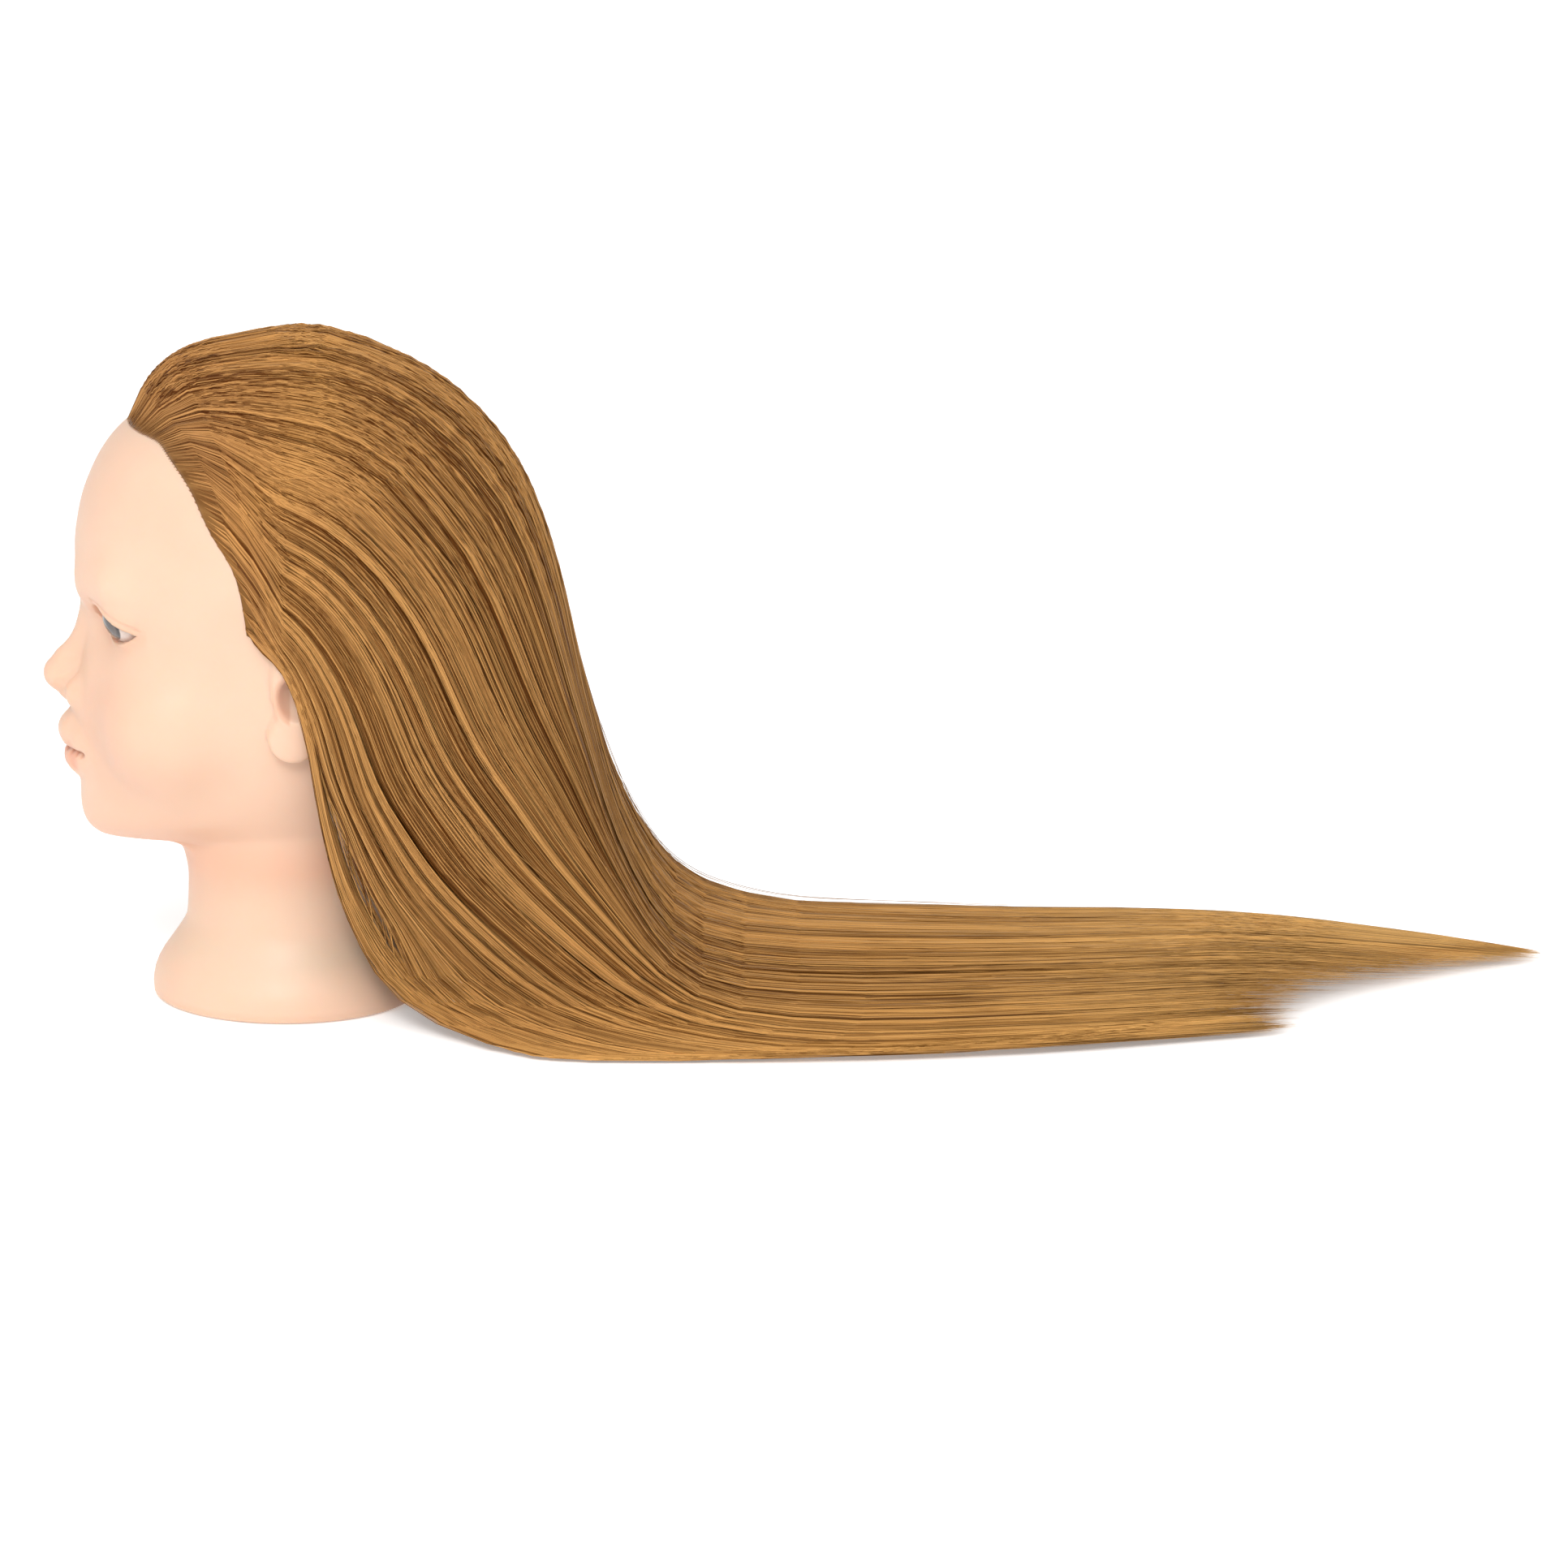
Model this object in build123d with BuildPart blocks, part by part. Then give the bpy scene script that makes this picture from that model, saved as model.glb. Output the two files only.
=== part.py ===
"""Mannequin training head: a hollow soft-vinyl head with rooted long hair, inset eyes and a socket.

The head stands on its own foot with its hair combed straight back, falling behind the neck and
lying along the table.  Millimetres.  Z is up, the foot stands on Z = 0, the face looks along -Y and
the head's own left side is +X.  The origin is the mouth of the clamp socket, in the middle of the foot.
"""

import os
from collections import namedtuple
from math import cos, pi, radians, sin

from build123d import *

os.makedirs("parts", exist_ok=True)

# ---- driving dimensions -------------------------------------------------------------------------
HEAD_TOP = 276.0  # crown of the vinyl scalp above the table
WALL = 3.0  # vinyl wall
CLEARANCE = 0.4  # free gap kept between hair and skin

SOCKET_R = 12.6  # clamp post bore
SOCKET_DEPTH = 70.0
SOCKET_WALL = 2.6
FLANGE_R = 32.0
FLANGE_T = 3.0
LIP_R = 43.0  # opening in the foot's turned-in lip
PLATE_R = 49.0  # base plate, held above the lip
PLATE_T = 4.0
SCREW_COUNT = 4
SCREW_CIRCLE_R = 24.0
SCREW_R = 1.75
SCREW_HEAD_R = 3.4
SCREW_LENGTH = 11.0
BOSS_R = 4.2
STEADY_Z = 44.0  # underside of the spider that steadies the socket in the neck
STEADY_T = 5.0
STEADY_SPOKES = 6

EYE_X = 30.0
EYE_Y = -60.5
EYE_Z = 168.5
EYE_R = 13.3
EYE_TURN = 26.0  # degrees that each eye looks outwards
EYE_DROP = 20.0  # degrees that each eye looks down
EYE_WALL = 3.6
IRIS_R = 7.0
LID_T = 1.2
OPENING_Z = 163.5  # middle of the lid opening
EYE_WIDTH = 29.0  # lid opening, corner to corner
EYE_HEIGHT = 14.0

EAR_X = 66.0
EAR_Y = 8.0
EAR_Z = 140.0

TIP_Y = 526.0  # the longest hair ends here

# ---- sections ------------------------------------------------------------------------------------
# One level of a body: front and back reach along Y, half width, the Y of the widest place,
# and how square the front is (2 is an ellipse).
Level = namedtuple("Level", "z front back half_width widest square")

FOOT_AND_NECK = [
    Level(0, -55.4, 55.0, 54.5, 0, 2.0),
    Level(7, -56.0, 55.5, 55.0, 0, 2.0),
    Level(16, -52.6, 51.0, 51.0, 0, 2.0),
    Level(24, -47.0, 45.5, 45.5, 0, 2.0),
    Level(33, -41.6, 41.0, 41.0, 0, 2.0),
    Level(48, -41.0, 41.0, 39.5, 0, 2.0),
    Level(66, -44.0, 43.0, 41.5, 0, 2.0),
    Level(100, -46.0, 44.0, 46.0, 0, 2.0),
]

CRANIUM = [
    Level(66.5, -72.0, 34.0, 27.0, -18, 2.0),
    Level(71, -80.0, 40.0, 35.0, -14, 2.0),
    Level(80, -84.4, 47.0, 45.0, -8, 2.0),
    Level(98, -86.3, 56.0, 54.0, -2, 2.0),
    Level(122, -87.2, 69.0, 61.5, 3, 2.0),
    Level(146, -84.0, 84.0, 65.5, 7, 2.0),
    Level(170, -84.6, 92.5, 68.5, 9, 2.0),
    Level(192, -86.4, 94.8, 71.5, 11, 2.0),
    Level(214, -82.4, 90.0, 72.5, 12, 2.0),
    Level(230, -74.6, 82.0, 69.0, 11, 2.0),
    Level(246, -60.0, 69.0, 60.0, 10, 2.0),
    Level(260, -42.5, 52.0, 46.0, 8, 2.0),
    Level(269, -25.0, 36.0, 30.5, 8, 2.0),
    Level(HEAD_TOP - 1.2, -5.0, 20.0, 12.5, 8, 2.0),
]

HAIR_FALL = [
    Level(0, 60, 160.0, 96.0, 110, 2.0),
    Level(18, 41, 168.0, 95.0, 97, 2.0),
    Level(35, 26, 167.0, 92.0, 83, 2.0),
    Level(54, 11, 154.5, 89.5, 68, 2.0),
    Level(74, -3, 144.0, 87.5, 52, 2.0),
    Level(96, -16, 133.5, 86.0, 40, 2.0),
    Level(120, -34, 125.0, 84.5, 28, 2.0),
    Level(146, -56, 117.5, 83.0, 20, 2.0),
    Level(172, -76, 111.0, 81.5, 15, 2.0),
    Level(196, -86, 105.0, 80.0, 12, 2.0),
    Level(216, -84, 98.0, 78.5, 12, 2.0),
    Level(236, -75, 86.0, 72.5, 11, 2.0),
    Level(251, -63, 74.0, 63.0, 10, 2.0),
    Level(263, -51, 60.0, 50.0, 9, 2.0),
    Level(272, -38.0, 45.0, 37.0, 8, 2.0),
    Level(280, -12.0, 26.0, 15.5, 8, 2.0),
]

# The lying hair, cut across: place along Y, far and near edge along X, and height of its crest.
Slice = namedtuple("Slice", "y far near height")

HAIR_TAIL = [
    Slice(110, -82, 84, 29),
    Slice(152, -90, 98, 30),
    Slice(200, -88, 98, 24.5),
    Slice(280, -82, 84, 22),
    Slice(360, -75, 66, 21),
    Slice(420, -65, 42, 18),
    Slice(470, -56, 8, 12),
    Slice(TIP_Y, -43, -35, 3),
]

# Side outlines, as (Y, Z).
HAIRLINE = [
    (-64.5, 241),
    (-55, 239.5),
    (-45, 234),
    (-35.5, 221),
    (-28.5, 206),
    (-20, 191),
    (-16.5, 178),
    (-16.5, 168),
]
CURTAIN_EDGE = [(-16.5, 168), (-4, 156), (6, 130), (13, 104), (19, 72), (29, 42), (48, 18), (92, -3)]
UNDER_LAYER_TOP = [
    (10, 108),
    (40, 116),
    (70, 110),
    (98, 86),
    (118, 58),
    (146, 33),
    (190, 19),
    (290, 13),
    (380, 8),
]

INNER_PARTING_X = 30.0  # between the top and the middle hair
OUTER_PARTING_X = 58.0  # between the middle and the side hair
REACH = 700.0  # longer than anything that is cut with it

LINING_GAP = 0.2  # between the vinyl and the glue that locks the roots
LINING_T = 1.2


# ---- helpers -------------------------------------------------------------------------------------
def signed_power(value, power):
    return abs(value) ** power * (1 if value >= 0 else -1)


def level_points(level, count=16):
    """Points round a level: a superellipse in front of its widest place and an ellipse behind it."""
    points = []
    for i in range(count):
        angle = 2 * pi * i / count
        in_front = sin(angle) < 0
        square = level.square if in_front else 2.0
        reach = level.widest - level.front if in_front else level.back - level.widest
        x = level.half_width * signed_power(cos(angle), 2 / square)
        y = level.widest + reach * signed_power(sin(angle), 2 / square)
        points.append((x, y))
    return points


def grown(level, by, middle_z=0.0, stretch=1.0):
    """The level moved outwards by a distance, and along Z about middle_z by a ratio."""
    return level._replace(
        z=middle_z + (level.z - middle_z) * stretch,
        front=level.front - by,
        back=level.back + by,
        half_width=level.half_width + by,
    )


def loft_levels(levels):
    """A smooth body through the levels."""
    with BuildPart() as body:
        for level in levels:
            with BuildSketch(Plane.XY.offset(level.z)):
                with BuildLine():
                    Spline(*level_points(level), periodic=True)
                make_face()
        loft()
    return body.part


def side_prism(curves, corners, low_x, high_x):
    """A prism along X. Its side outline is the curves, one after another, then straight corners."""
    with BuildPart() as prism:
        with BuildSketch(Plane.YZ.offset(low_x)):
            with BuildLine():
                for points in curves:
                    Spline(*points)
                Polyline(curves[-1][-1], *corners, curves[0][0])
            make_face()
        extrude(amount=high_x - low_x)
    return prism.part


def write(shape, name):
    """Labels a finished piece and writes it."""
    shape.label = name
    export_step(shape, f"parts/{name}.step")


# ---- forms of the head ---------------------------------------------------------------------------
MIDDLE_Z = 170.0
SIDES = {"left": 1, "right": -1}


def head_form(by, floor=0.0):
    """The head, neck and foot as one filled body, moved outwards by a distance."""
    stretch = 1 + by / (HEAD_TOP - MIDDLE_Z)
    foot = [grown(level._replace(z=max(level.z, floor)), by) for level in FOOT_AND_NECK]
    with BuildPart() as form:
        add(loft_levels(foot))
        add(loft_levels([grown(level, by, MIDDLE_Z, stretch) for level in CRANIUM]))
    return form.part


def cranium_form(by):
    """Only the head above the neck, moved outwards by a distance."""
    stretch = 1 + by / (HEAD_TOP - MIDDLE_Z)
    return loft_levels([grown(level, by, MIDDLE_Z, stretch) for level in CRANIUM])


def nose_form():
    """The nose: a narrow bridge that widens into a rounded tip."""
    root = -80.0
    depth = 8.0
    sections = [
        (161, -84.5, 5.0),
        (152, -89.0, 6.5),
        (142, -96.5, 8.5),
        (134, -99.8, 11.0),
        (127, -96.5, 12.0),
        (122, -90.5, 10.0),
    ]
    with BuildPart() as nose:
        for z, tip, half_width in sections:
            shoulder = (half_width * 0.55, (root + tip) / 2 - 1)
            with BuildSketch(Plane.XY.offset(z)):
                with BuildLine():
                    Spline(
                        (-half_width, root),
                        (-shoulder[0], shoulder[1]),
                        (0, tip),
                        shoulder,
                        (half_width, root),
                    )
                    Polyline(
                        (half_width, root),
                        (half_width, root + depth),
                        (-half_width, root + depth),
                        (-half_width, root),
                    )
                make_face()
        loft()
    return nose.part


EAR_STANDS_OFF = 11.0
EAR_ROOT = 14.0  # how far inside the head the room for the ear starts
EAR_ROOM = (19.5, 31.0)  # half width and half height of the room that the hair leaves for an ear
EAR_ROOM_SHIFT = (2.0, 1.0)  # from the middle of the ear, backwards and up
EAR_RIM = [
    (-13, 10),
    (-9, 22),
    (2, 27),
    (13, 23),
    (17, 10),
    (14, -6),
    (5, -17),
    (-4, -25),
    (-11, -21),
    (-12, -6),
]
EAR_BOWL = [(-7, 2), (0, 10), (7, 6), (6, -5), (-2, -9)]
EAR_RIM_ROUND = 3.0


def ear_plane(side):
    """A plane on the side of the head whose axes are +Y and +Z and which faces outwards."""
    return Plane(origin=(side * EAR_X, EAR_Y, EAR_Z), x_dir=(0, side, 0), z_dir=(side, 0, 0))


def ear_blank(side):
    """The ear's outline, standing straight off the head."""
    with BuildPart() as blank:
        with BuildSketch(ear_plane(side)):
            with BuildLine():
                Spline(*[(side * u, v) for u, v in EAR_RIM], periodic=True)
            make_face()
        extrude(amount=EAR_STANDS_OFF)
    return blank.part


def ear_pocket(side):
    """The room that the hair leaves round an ear, from inside the head outwards."""
    with BuildPart() as pocket:
        with BuildSketch(ear_plane(side).offset(-EAR_ROOT)):
            with Locations((side * EAR_ROOM_SHIFT[0], EAR_ROOM_SHIFT[1])):
                Ellipse(*EAR_ROOM)
        extrude(amount=EAR_ROOT + EAR_STANDS_OFF + CLEARANCE)
    return pocket.part


def ear_form(side):
    """One ear with a rounded rim and a hollowed bowl."""
    with BuildPart() as ear:
        add(ear_blank(side))
        outer_face = ear.faces().sort_by(Axis.X)[-1 if side > 0 else 0]
        fillet(outer_face.edges(), EAR_RIM_ROUND)
        with BuildSketch(ear_plane(side).offset(EAR_STANDS_OFF)):
            with BuildLine():
                Spline(*[(side * u, v) for u, v in EAR_BOWL], periodic=True)
            make_face()
        extrude(amount=-EAR_STANDS_OFF / 2, mode=Mode.SUBTRACT)
    return ear.part


def eye_opening(side):
    """The almond opening between the lids, as a cutter along Y."""
    half, rise = EYE_WIDTH / 2, EYE_HEIGHT / 2
    with BuildPart() as cutter:
        with BuildSketch(Plane.XZ.offset(-EYE_Y)):
            with BuildLine():
                one, other = (side * EYE_X - half, OPENING_Z), (side * EYE_X + half, OPENING_Z)
                ThreePointArc(one, (side * EYE_X, OPENING_Z + rise), other)
                ThreePointArc(other, (side * EYE_X, OPENING_Z - rise), one)
            make_face()
        extrude(amount=3 * EYE_R)
    return cutter.part


# ---- the vinyl head ------------------------------------------------------------------------------
with BuildPart() as head_shell:
    add(head_form(0))
    add(nose_form())
    for side in SIDES.values():
        add(ear_form(side))
        with Locations((side * EYE_X, EYE_Y, EYE_Z)):
            Sphere(EYE_R + CLEARANCE + LID_T)
    add(head_form(-WALL, floor=WALL), mode=Mode.SUBTRACT)
    Cylinder(LIP_R, 4 * WALL, mode=Mode.SUBTRACT)
    for side in SIDES.values():
        add(eye_opening(side), mode=Mode.SUBTRACT)
        with Locations((side * EYE_X, EYE_Y, EYE_Z)):
            Sphere(EYE_R + CLEARANCE, mode=Mode.SUBTRACT)
write(head_shell.part, "head_shell")

SCALP_REGION = side_prism(
    [HAIRLINE, CURTAIN_EDGE],
    [(REACH, CURTAIN_EDGE[-1][1]), (REACH, REACH), (HAIRLINE[0][0], REACH)],
    -REACH,
    REACH,
)
LINING_FLOOR_Z = 120.0

with BuildPart() as scalp_root_lining:
    add(cranium_form(-WALL - LINING_GAP))
    add(cranium_form(-WALL - LINING_GAP - LINING_T), mode=Mode.SUBTRACT)
    add(SCALP_REGION, mode=Mode.INTERSECT)
    split(bisect_by=Plane.XY.offset(LINING_FLOOR_Z), keep=Keep.TOP)
write(scalp_root_lining.part, "scalp_root_lining")


# ---- the eyes ------------------------------------------------------------------------------------
IRIS_SET = 2.1  # how far behind the front of the eyeball the iris lies
IRIS_T = 0.8
PUPIL_R = 2.4
CORNEA_GAP = 0.05

for name, side in SIDES.items():
    centre = (side * EYE_X, EYE_Y, EYE_Z)
    level_reach = cos(radians(EYE_DROP))
    gaze = Vector(
        side * sin(radians(EYE_TURN)) * level_reach,
        -cos(radians(EYE_TURN)) * level_reach,
        -sin(radians(EYE_DROP)),
    )
    front = Plane(origin=Vector(centre) + gaze * EYE_R, x_dir=(gaze.Y, -gaze.X, 0), z_dir=gaze)
    iris_back = front.offset(-IRIS_SET - IRIS_T)

    with BuildPart() as eye_shell:
        with Locations(centre):
            Sphere(EYE_R)
            Sphere(EYE_R - EYE_WALL, mode=Mode.SUBTRACT)
        split(bisect_by=front.offset(-EYE_R), keep=Keep.TOP)
        with BuildSketch(iris_back):
            Circle(IRIS_R)
        extrude(amount=2 * EYE_R, mode=Mode.SUBTRACT)
    write(eye_shell.part, f"eye_shell_{name}")

    with BuildPart() as eye_iris:
        with BuildSketch(iris_back):
            Circle(IRIS_R - CORNEA_GAP)
            Circle(PUPIL_R, mode=Mode.SUBTRACT)
        extrude(amount=IRIS_T)
    write(eye_iris.part, f"eye_iris_{name}")

    with BuildPart() as eye_pupil:
        with BuildSketch(iris_back):
            Circle(PUPIL_R)
        extrude(amount=IRIS_T / 2)
    write(eye_pupil.part, f"eye_pupil_{name}")

    with BuildPart() as eye_cornea:
        with Locations(centre):
            Sphere(EYE_R)
        with BuildSketch(front.offset(-IRIS_SET)):
            Circle(IRIS_R - CORNEA_GAP)
        extrude(amount=2 * IRIS_SET, mode=Mode.INTERSECT)
    write(eye_cornea.part, f"eye_cornea_{name}")


# ---- the clamp socket and what holds it ----------------------------------------------------------
SOCKET_OUTER_R = SOCKET_R + SOCKET_WALL
PLATE_Z = WALL
STEADY_R = 36.0
STEADY_RIM = 3.0
SPOKE_WIDTH = 4.0
PLATE_RIB_T = 2.0
PLATE_RIB_HEIGHT = 6.0
PLATE_RIM_STEP = 2.0
FIRST_SCREW_ANGLE = 45
SCREW_HEAD_T = 2.0
SCREW_HEAD_Z = 0.5
SCREW_SLOT = 0.7
PILOT_CLEARANCE = 0.02

with BuildPart() as clamp_socket:
    Cylinder(FLANGE_R, FLANGE_T, align=(Align.CENTER, Align.CENTER, Align.MIN))
    Cylinder(
        SOCKET_OUTER_R,
        SOCKET_DEPTH + SOCKET_WALL,
        align=(Align.CENTER, Align.CENTER, Align.MIN),
    )
    Cylinder(SOCKET_R, SOCKET_DEPTH, align=(Align.CENTER, Align.CENTER, Align.MIN), mode=Mode.SUBTRACT)
    with PolarLocations(SCREW_CIRCLE_R, SCREW_COUNT, start_angle=FIRST_SCREW_ANGLE):
        Cylinder(SCREW_R + PILOT_CLEARANCE, 4 * FLANGE_T, mode=Mode.SUBTRACT)
        Cylinder(
            SCREW_HEAD_R + PILOT_CLEARANCE,
            SCREW_HEAD_Z + SCREW_HEAD_T,
            align=(Align.CENTER, Align.CENTER, Align.MIN),
            mode=Mode.SUBTRACT,
        )
write(clamp_socket.part, "clamp_socket")

with BuildPart() as neck_base_plate:
    with BuildSketch(Plane.XY.offset(PLATE_Z)):
        Circle(PLATE_R)
        Circle(SOCKET_OUTER_R + CLEARANCE, mode=Mode.SUBTRACT)
    extrude(amount=PLATE_T)
    with BuildSketch(Plane.XY.offset(PLATE_Z + PLATE_T)):
        Circle(PLATE_R - PLATE_RIM_STEP)
        Circle(PLATE_R - PLATE_RIM_STEP - PLATE_RIB_T, mode=Mode.SUBTRACT)
        with PolarLocations(SCREW_CIRCLE_R, SCREW_COUNT, start_angle=FIRST_SCREW_ANGLE):
            Circle(BOSS_R)
        with PolarLocations((SCREW_CIRCLE_R + PLATE_R) / 2, SCREW_COUNT, start_angle=FIRST_SCREW_ANGLE):
            Rectangle(PLATE_R - SCREW_CIRCLE_R - BOSS_R, PLATE_RIB_T)
    extrude(amount=PLATE_RIB_HEIGHT)
    with Locations((0, 0, PLATE_Z)):
        with PolarLocations(SCREW_CIRCLE_R, SCREW_COUNT, start_angle=FIRST_SCREW_ANGLE):
            Cylinder(
                SCREW_R + PILOT_CLEARANCE,
                SCREW_LENGTH,
                align=(Align.CENTER, Align.CENTER, Align.MIN),
                mode=Mode.SUBTRACT,
            )
write(neck_base_plate.part, "neck_base_plate")

with BuildPart() as base_plate_screws:
    with PolarLocations(SCREW_CIRCLE_R, SCREW_COUNT, start_angle=FIRST_SCREW_ANGLE):
        with Locations((0, 0, SCREW_HEAD_Z)):
            Cylinder(SCREW_HEAD_R, SCREW_HEAD_T, align=(Align.CENTER, Align.CENTER, Align.MIN))
            Cylinder(SCREW_R, SCREW_LENGTH, align=(Align.CENTER, Align.CENTER, Align.MIN))
            Box(
                2 * SCREW_R,
                SCREW_SLOT,
                SCREW_HEAD_T / 2,
                align=(Align.CENTER, Align.CENTER, Align.MIN),
                mode=Mode.SUBTRACT,
            )
write(base_plate_screws.part, "base_plate_screws")

with BuildPart() as socket_steady:
    with BuildSketch(Plane.XY.offset(STEADY_Z)):
        Circle(STEADY_R)
        Circle(STEADY_R - STEADY_RIM, mode=Mode.SUBTRACT)
        Circle(SOCKET_OUTER_R + STEADY_RIM)
        with PolarLocations((SOCKET_OUTER_R + STEADY_R) / 2, STEADY_SPOKES):
            Rectangle(STEADY_R - SOCKET_OUTER_R - STEADY_RIM, SPOKE_WIDTH)
        Circle(SOCKET_OUTER_R + PILOT_CLEARANCE, mode=Mode.SUBTRACT)
    extrude(amount=STEADY_T)
write(socket_steady.part, "socket_steady")


# ---- the hair ------------------------------------------------------------------------------------
def tail_form():
    """The hair that lies along the table, low at both edges and flat underneath."""
    with BuildPart() as tail:
        for cut in HAIR_TAIL:
            middle, half = (cut.near + cut.far) / 2, (cut.near - cut.far) / 2
            steps = 8
            crest = [
                (middle + half * cos(pi * i / steps), cut.height * sin(pi * i / steps) ** 0.75)
                for i in range(1, steps)
            ]
            with BuildSketch(Plane.XZ.offset(-cut.y)):
                with BuildLine():
                    Spline((cut.near, 0), *crest, (cut.far, 0))
                    Line((cut.far, 0), (cut.near, 0))
                make_face()
        loft()
    return tail.part


with BuildPart() as all_hair:
    add(loft_levels(HAIR_FALL))
    add(tail_form())
    add(SCALP_REGION, mode=Mode.INTERSECT)
    add(head_form(CLEARANCE), mode=Mode.SUBTRACT)
    for side in SIDES.values():
        add(ear_pocket(side), mode=Mode.SUBTRACT)

UNDER_LAYER = side_prism(
    [UNDER_LAYER_TOP],
    [(UNDER_LAYER_TOP[-1][0], -1), (UNDER_LAYER_TOP[0][0], -1)],
    -OUTER_PARTING_X,
    OUTER_PARTING_X,
)

with BuildPart() as outer_hair:
    add(all_hair.part)
    add(UNDER_LAYER, mode=Mode.SUBTRACT)

with BuildPart() as inner_hair:
    add(all_hair.part)
    add(UNDER_LAYER, mode=Mode.INTERSECT)

LAYERS = {
    "hair_top": (outer_hair.part, 0, INNER_PARTING_X),
    "hair_middle": (outer_hair.part, INNER_PARTING_X, OUTER_PARTING_X),
    "hair_side": (all_hair.part, OUTER_PARTING_X, REACH),
    "hair_nape": (inner_hair.part, 0, OUTER_PARTING_X),
}

for layer, (body, inner_x, outer_x) in LAYERS.items():
    for name, side in SIDES.items():
        outwards, inwards = (Keep.TOP, Keep.BOTTOM) if side > 0 else (Keep.BOTTOM, Keep.TOP)
        with BuildPart() as lock:
            add(body)
            split(bisect_by=Plane.YZ.offset(side * inner_x), keep=outwards)
            if outer_x < REACH:
                split(bisect_by=Plane.YZ.offset(side * outer_x), keep=inwards)
        write(max(lock.part.solids(), key=lambda piece: piece.volume), f"{layer}_{name}")
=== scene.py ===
"""Looks of the mannequin training head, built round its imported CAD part.

Shapes are worked out in millimetres in the part's own frame (Z up, face along -Y, hair along +Y,
the head's left side on +X) and turned into metres when a mesh is made.
"""

from math import cos, pi, radians, sin

import bpy
import numpy as np
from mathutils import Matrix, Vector


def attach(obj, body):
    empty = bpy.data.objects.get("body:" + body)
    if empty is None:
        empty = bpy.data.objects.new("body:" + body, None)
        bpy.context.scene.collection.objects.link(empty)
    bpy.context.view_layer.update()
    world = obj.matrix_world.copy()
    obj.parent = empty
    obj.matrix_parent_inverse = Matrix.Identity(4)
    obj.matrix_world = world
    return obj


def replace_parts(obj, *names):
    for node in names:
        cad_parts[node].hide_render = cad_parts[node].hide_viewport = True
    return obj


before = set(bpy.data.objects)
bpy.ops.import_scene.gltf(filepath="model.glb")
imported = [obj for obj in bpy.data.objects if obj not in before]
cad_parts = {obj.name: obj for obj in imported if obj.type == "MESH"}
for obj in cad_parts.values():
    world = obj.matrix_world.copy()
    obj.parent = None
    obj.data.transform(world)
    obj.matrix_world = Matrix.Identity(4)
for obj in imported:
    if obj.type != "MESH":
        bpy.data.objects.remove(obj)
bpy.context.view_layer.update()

MM = 0.001
RNG = np.random.default_rng(7)

# ---- small tools ---------------------------------------------------------------------------------


def curve(points, soften=0.0):
    """A smooth function through (place, value) points, flat beyond both ends."""
    at, value = np.array(points, float).T
    step = np.diff(at)
    slope = np.diff(value) / step
    grad = np.concatenate([slope[:1], np.zeros(len(at) - 2), slope[-1:]])
    same = slope[:-1] * slope[1:] > 0
    inner = np.where(same, 2 * slope[:-1] * slope[1:] / np.where(same, slope[:-1] + slope[1:], 1), 0)
    grad[1:-1] = inner
    table_at = np.linspace(at[0], at[-1], 1200)
    i = np.clip(np.searchsorted(at, table_at) - 1, 0, len(step) - 1)
    t = (table_at - at[i]) / step[i]
    table = (
        value[i] * (1 + 2 * t) * (1 - t) ** 2
        + value[i + 1] * t * t * (3 - 2 * t)
        + step[i] * (grad[i] * t * (1 - t) ** 2 + grad[i + 1] * t * t * (t - 1))
    )
    if soften:
        reach = max(1, int(3 * soften / (table_at[1] - table_at[0])))
        weight = np.exp(-0.5 * (np.arange(-reach, reach + 1) * (table_at[1] - table_at[0]) / soften) ** 2)
        table = np.convolve(np.pad(table, reach, mode="edge"), weight / weight.sum(), mode="valid")
    return lambda place: np.interp(place, table_at, table)


def smooth_step(low, high, value):
    t = np.clip((value - low) / (high - low), 0, 1)
    return t * t * (3 - 2 * t)


def union(a, b, blend):
    """The smooth union of two distances."""
    h = np.clip(0.5 + 0.5 * (b - a) / blend, 0, 1)
    return b + (a - b) * h - blend * h * (1 - h)


def carve(a, b, blend):
    """Distance a with the body of distance b taken out."""
    return -union(-a, b, blend)


def ball(p, centre, radii):
    """About the distance to an ellipsoid."""
    q = (p - np.array(centre, float)) / np.array(radii, float)
    return (np.linalg.norm(q, axis=-1) - 1) * min(np.atleast_1d(radii))


def rod(p, stops):
    """Distance to a rounded rod through stops of (x, y, z, radius)."""
    stops = np.array(stops, float)
    best = None
    for a, b in zip(stops[:-1], stops[1:]):
        way = b[:3] - a[:3]
        t = np.clip(((p - a[:3]) @ way) / (way @ way), 0, 1)
        d = np.linalg.norm(p - a[:3] - t[..., None] * way, axis=-1) - (a[3] + (b[3] - a[3]) * t)
        best = d if best is None else union(best, d, 1.5)
    return best


def spread(count, peaks, low, high):
    """Places from low to high that crowd together at peaks of (place, width, weight)."""
    at = np.linspace(low, high, 4000)
    density = 1 + sum(weight * np.exp(-0.5 * ((at - place) / width) ** 2) for place, width, weight in peaks)
    total = np.concatenate([[0], np.cumsum((density[1:] + density[:-1]) / 2)])
    return np.interp(np.linspace(0, total[-1], count), total, at)


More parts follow.
